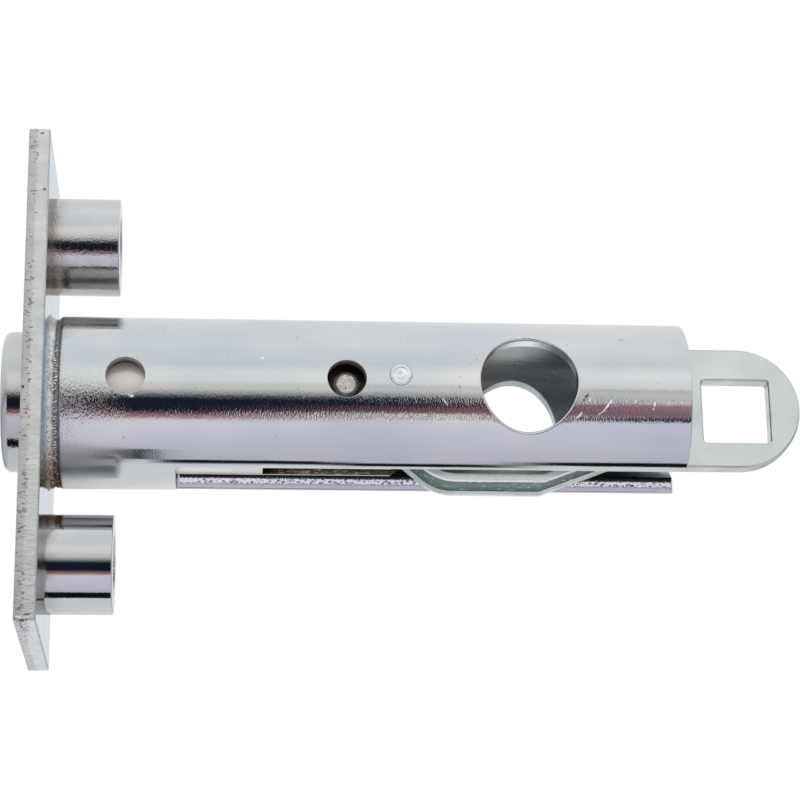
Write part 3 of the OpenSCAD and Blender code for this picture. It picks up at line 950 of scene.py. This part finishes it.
def close_tree(tree, shape, material, result):
    """Makes a tree's instances real, paints them and hands them on."""
    solid = add(tree, "GeometryNodeRealizeInstances", {0: shape.outputs[0]})
    painted = add(tree, "GeometryNodeSetMaterial", {"Geometry": solid.outputs[0], "Material": material})
    tree.links.new(painted.outputs[0], result.inputs[0])
    return tree


def onto_x(tree, shape, start):
    """Turns a shape round the Z axis so that it lies round the X axis, and moves it to its start."""
    return add(tree, "GeometryNodeTransform", {"Geometry": shape.outputs[0], "Rotation": (0, math.pi / 2, 0),
                                               "Translation": start})


def scattered_tree(name, material, ring):
    """Small chips on a ring about the X axis, or on a line along it."""
    tree, given, result = node_tree(name, [
        ("Count", "NodeSocketInt"), ("Start", "NodeSocketVector"), ("Reach", "NodeSocketFloat"),
        ("Spread", "NodeSocketVector"), ("Chip size", "NodeSocketFloat"), ("Chip form", "NodeSocketVector"),
        ("Seed", "NodeSocketInt")])
    size = given.outputs

    def chance(low, high, kind, at):
        """A random value between two, whose sockets start at a place in the node's list."""
        return add(tree, "FunctionNodeRandomValue", {at: low, at + 1: high, "Seed": size["Seed"]}, data_type=kind)

    if ring:
        line = add(tree, "GeometryNodeMeshCircle", {"Vertices": size["Count"], "Radius": size["Reach"]})
        line = onto_x(tree, line, size["Start"])
    else:
        step = maths(tree, "DIVIDE", size["Reach"], size["Count"])
        offset = add(tree, "ShaderNodeCombineXYZ", {"X": step})
        line = add(tree, "GeometryNodeMeshLine", {"Count": size["Count"], "Start Location": size["Start"],
                                                  "Offset": offset.outputs[0]})
    low = add(tree, "ShaderNodeVectorMath", {0: size["Spread"], "Scale": -1.0}, operation="SCALE")
    shift = chance(low.outputs[0], size["Spread"], "FLOAT_VECTOR", 0)
    line = add(tree, "GeometryNodeSetPosition", {"Geometry": line.outputs[0], "Offset": shift.outputs[0]})
    chip = add(tree, "GeometryNodeMeshIcoSphere", {"Radius": size["Chip size"], "Subdivisions": 1})
    chip = add(tree, "GeometryNodeTransform", {"Geometry": chip.outputs[0], "Scale": size["Chip form"]})
    grow_by = chance(0.45, 1.3, "FLOAT", 2).outputs[1]
    # The grit thins out toward the top of the bead, and the burrs lie below that
    height = part_of(tree, add(tree, "GeometryNodeInputPosition").outputs[0], Z)
    grow_by = maths(tree, "MULTIPLY", grow_by, span(tree, height, CALM_TO * MM, CALM_FROM * MM, 1.0, 0.2))
    turn = chance((-0.5, -0.5, -0.5), (0.5, 0.5, 0.5), "FLOAT_VECTOR", 0)
    chips = add(tree, "GeometryNodeInstanceOnPoints", {"Points": line.outputs[0], "Instance": chip.outputs[0],
                                                       "Rotation": turn.outputs[0], "Scale": grow_by})
    return close_tree(tree, chips, material, result)


def thread_tree(material):
    """Turns of an internal thread about the X axis."""
    tree, given, result = node_tree("thread_turns", [
        ("Start", "NodeSocketVector"), ("Turns", "NodeSocketFloat"), ("Radius", "NodeSocketFloat"),
        ("Length", "NodeSocketFloat"), ("Crest", "NodeSocketFloat")])
    size = given.outputs
    path = add(tree, "GeometryNodeCurveSpiral", {"Resolution": 40, "Rotations": size["Turns"],
                                                 "Start Radius": size["Radius"], "End Radius": size["Radius"],
                                                 "Height": size["Length"]})
    crest = add(tree, "GeometryNodeCurvePrimitiveCircle", {"Resolution": 4, "Radius": size["Crest"]})
    ridge = add(tree, "GeometryNodeCurveToMesh", {"Curve": path.outputs[0], "Profile Curve": crest.outputs[0],
                                                  "Fill Caps": True})
    return close_tree(tree, onto_x(tree, ridge, size["Start"]), material, result)


# Three rings of grit: near the plate, in the bead's hollow and near the tube, where the chips are long
grit = scattered_tree("weld_grit_ring", weld_spark, True)
for number, (x, depth, count, chip, form) in enumerate([
        (3.15, 0.17, 190, 0.16, EVEN), (3.6, 0.37, 190, 0.15, EVEN), (4.05, 0.26, 180, 0.15, (2.2, 0.8, 0.8))]):
    grow("weld_grit_%d" % (number + 1), grit, {
        "Count": count, "Start": (x * MM, 0, 0), "Reach": (TUBE_R - depth) * MM,
        "Spread": (0.16 * MM, 0.05 * MM, 0.05 * MM), "Chip size": chip * MM, "Chip form": form,
        "Seed": 11 + number}, "housing", weld_spark, "plated_weld")

burr = scattered_tree("slot_burr_line", bright_tube, False)
for name, side in (("slot_burr_near", -1), ("slot_burr_far", 1)):
    grow(name, burr, {
        "Count": 150, "Start": ((SLOT_X + 3) * MM, side * (SLOT_HALF - 0.01) * MM, BURR_Z * MM),
        "Reach": (TUBE_END - SLOT_X - 4) * MM, "Spread": (0.2 * MM, 0.0, 0.22 * MM), "Chip size": 0.13 * MM,
        "Chip form": (2.2, 0.5, 0.9), "Seed": 31 + side}, "housing", bright_tube, "bright_tube")

thread = thread_tree(thread_zinc)
thread_length = boss_hi.x - 2 * THREAD_START
for name, side in (("upper_boss_thread", 1), ("lower_boss_thread", -1)):
    grow(name, thread, {
        "Start": (THREAD_START * MM, 0, side * BOSS_Z * MM), "Turns": thread_length / THREAD_PITCH,
        "Radius": THREAD_R * MM, "Length": thread_length * MM, "Crest": THREAD_CREST * MM},
         "housing", thread_zinc, "turned_zinc")


# Camera, floor and light

def place_camera():
    """The photograph's own camera, fitted to the outlines seen in it."""
    azimuth, elevation, roll = (math.radians(a) for a in (-4.6938, -17.1158, -0.8044))
    look_at = Vector((47.433, 0, -9.870)) * MM
    distance = 0.312309
    back = Vector((math.sin(azimuth) * math.cos(elevation), -math.cos(azimuth) * math.cos(elevation),
                   math.sin(elevation)))
    right = Vector((math.cos(azimuth), math.sin(azimuth), 0))
    up = back.cross(right)
    right, up = right * math.cos(roll) + up * math.sin(roll), up * math.cos(roll) - right * math.sin(roll)
    data = bpy.data.cameras.new("studio_camera")
    data.sensor_width = 36
    data.lens = 109.81
    data.shift_y = 0.1
    data.clip_start = 0.01
    camera = in_scene("studio_camera", data)
    turn = Matrix((right, up, back)).transposed().to_4x4()
    camera.matrix_world = Matrix.Translation(look_at + back * distance) @ turn
    bpy.context.scene.camera = camera


place_camera()

# What the metal mirrors, by the angle round the tube: 0 is level towards the camera, 90 is up
STUDIO_LOW, STUDIO_HIGH = "#E4E6EA", "#EAECEE"


def studio(edges, middle):
    """Bands from straight down by way of a dark line, whose four edges are given, to straight up."""
    line = ["#DDE0E4", "#0E121C", "#0E121A", "#C4C3CE"]
    return [(-180, STUDIO_LOW)] + list(zip(edges, line)) + middle + [(100, STUDIO_HIGH), (180, STUDIO_LOW)]


LILAC = (-70, "#D2D1DE")
LEFT_MIDDLE = [
    LILAC, (-42, "#DEDCE9"), (-39, "#D2C6CE"), (-36, "#9C7C86"), (-32, "#84606B"), (-29, "#3A3440"), (-27, "#141D2A"),
    (-11, "#18212E"), (-8, "#5A5E64"), (-5, "#8E8F90"), (-1, "#B6B6B5"), (2, "#D8D7D2"), (8, "#DCDCD8"),
    (13, "#EFEFED"), (26, "#F1F2F3"), (36, "#E0E4E8"), (55, "#E6E9EC"), (68, "#EDEFF0")]
EDGE_BANDS = studio((-98.5, -97, -81.5, -80), LEFT_MIDDLE)
LEFT_BANDS = studio((-106, -103.5, -98.5, -97), LEFT_MIDDLE)
LEFT_BANDS.insert(2, (-104.5, "#9A9CA4"))
MIDDLE_BANDS = studio((-107.5, -106.5, -102, -100.5), [
    LILAC, (-40, "#DEDCE9"), (-37, "#EFEDEA"), (-28, "#E9E4E0"), (-26, "#8A6873"), (-20, "#5A4250"), (-17, "#1D2434"),
    (-7, "#232936"), (-5, "#8D8F92"), (-2, "#A7A8A8"), (4, "#DCDCD8"), (8, "#C9CCD0"), (14, "#EFEFED"),
    (26, "#F1F2F3"), (40, "#DEE2E6"), (55, "#E6E9EC"), (70, "#EDEFF0")])
RIGHT_BANDS = studio((-102.5, -101.5, -97, -95.5), [
    LILAC, (-36, "#DEDCE9"), (-34, "#2E2A36"), (-30, "#4A3644"), (-28, "#8C6470"), (-13, "#A88490"), (-11, "#D6CFCB"),
    (3, "#D2D0CC"), (6, "#B8BABD"), (9, "#E4E4E3"), (26, "#F6F6F6"), (45, "#E0E4E8"), (60, "#E8EAEC"),
    (75, "#EDEFF0")])
SIDE_WALLS = [(0, "#CDCFD4"), (0.35, "#C2C5CC"), (0.47, "#8E929A"), (0.55, "#C9CBCE"), (0.75, "#E4E6E8"),
              (1, "#F4F5F6")]


def light_world(ripple=0.012):
    world = bpy.data.worlds.new("pale_studio")
    bpy.context.scene.world = world
    tree = cleared(world)
    way = add(tree, "ShaderNodeTexCoord").outputs["Generated"]
    angle = maths(tree, "ARCTAN2", part_of(tree, way, Z), maths(tree, "MULTIPLY", part_of(tree, way, Y), -1.0))
    share = maths(tree, "MULTIPLY_ADD", angle, 1 / (2 * math.pi), 0.5)
    wobble = add(tree, "ShaderNodeTexNoise", {"Vector": way, "Scale": 9.0, "Detail": 3.0}).outputs[0]
    share = maths(tree, "SUBTRACT", maths(tree, "MULTIPLY_ADD", wobble, ripple, share), ripple / 2)
    ramps = [bands(tree, share, [((a + 180) / 360, c) for a, c in stops])
             for stops in (EDGE_BANDS, LEFT_BANDS, MIDDLE_BANDS, RIGHT_BANDS)]
    # The direction's X tells which stretch of the tube the camera sees it in: near the plate, before the second
    # small hole, before the cross hole or behind it
    sideways = part_of(tree, way, X)
    mirror = ramps[0]
    for ramp, start, end in zip(ramps[1:], (-0.028, 0.044, 0.115), (-0.016, 0.06, 0.14)):
        mirror = mix(tree, span(tree, sideways, start, end), mirror, ramp)
    # Far along X the studio has no dark bands, only walls that grow paler upwards
    walls = bands(tree, span(tree, part_of(tree, way, Z), -1.0, 1.0), SIDE_WALLS)
    mirror = mix(tree, span(tree, maths(tree, "ABSOLUTE", sideways), 0.22, 0.4), mirror, walls)
    # Light that has bounced between pieces has mostly met the object itself, which is darker than the studio
    path = add(tree, "ShaderNodeLightPath")
    mirror = mix(tree, span(tree, path.outputs["Ray Depth"], 2.0, 3.0, 0.0, 0.38), mirror, "#1C1F24")
    look = mix(tree, path.outputs["Is Camera Ray"], mirror, WHITE)
    glow = add(tree, "ShaderNodeBackground", {"Color": look, "Strength": 1.0})
    add(tree, "ShaderNodeOutputWorld", {0: glow.outputs[0]})


light_world()


def lay_floor(half=3.0, depth=-0.45, glow=0.35):
    """A pale floor that mirrors leave out, so that bright metal shows the studio."""
    material = bpy.data.materials.new("pale_floor")
    tree = cleared(material)
    path = add(tree, "ShaderNodeLightPath")
    paint = add(tree, "ShaderNodeBsdfDiffuse", {"Color": linear("#F2F2F2")})
    white = add(tree, "ShaderNodeEmission", {"Color": linear(WHITE), "Strength": glow})
    both = add(tree, "ShaderNodeAddShader", {0: paint.outputs[0], 1: white.outputs[0]})
    clear = add(tree, "ShaderNodeBsdfTransparent")
    seen = add(tree, "ShaderNodeMixShader", {0: path.outputs["Is Glossy Ray"], 1: both.outputs[0],
                                             2: clear.outputs[0]})
    add(tree, "ShaderNodeOutputMaterial", {0: seen.outputs[0]})
    mesh = bpy.data.meshes.new("studio_floor")
    mesh.from_pydata([(-half, -half, depth), (half, -half, depth), (half, half, depth), (-half, half, depth)], [],
                     [(0, 1, 2, 3)])
    mesh.materials.append(material)
    floor = in_scene("studio_floor", mesh)


lay_floor()

for name, spot, size, power in (("soft_key", (-0.5, -0.9, 0.9), 0.7, 3.0), ("soft_fill", (0.9, -0.6, 0.7), 0.7, 2.0)):
    lamp = bpy.data.lights.new(name, "AREA")
    lamp.size = size
    lamp.energy = power
    light = in_scene(name, lamp)
    light.location = spot
    light.rotation_euler = (-Vector(spot)).to_track_quat("-Z", "Y").to_euler()
    light.visible_glossy = False

bpy.context.scene.view_settings.view_transform = "Standard"
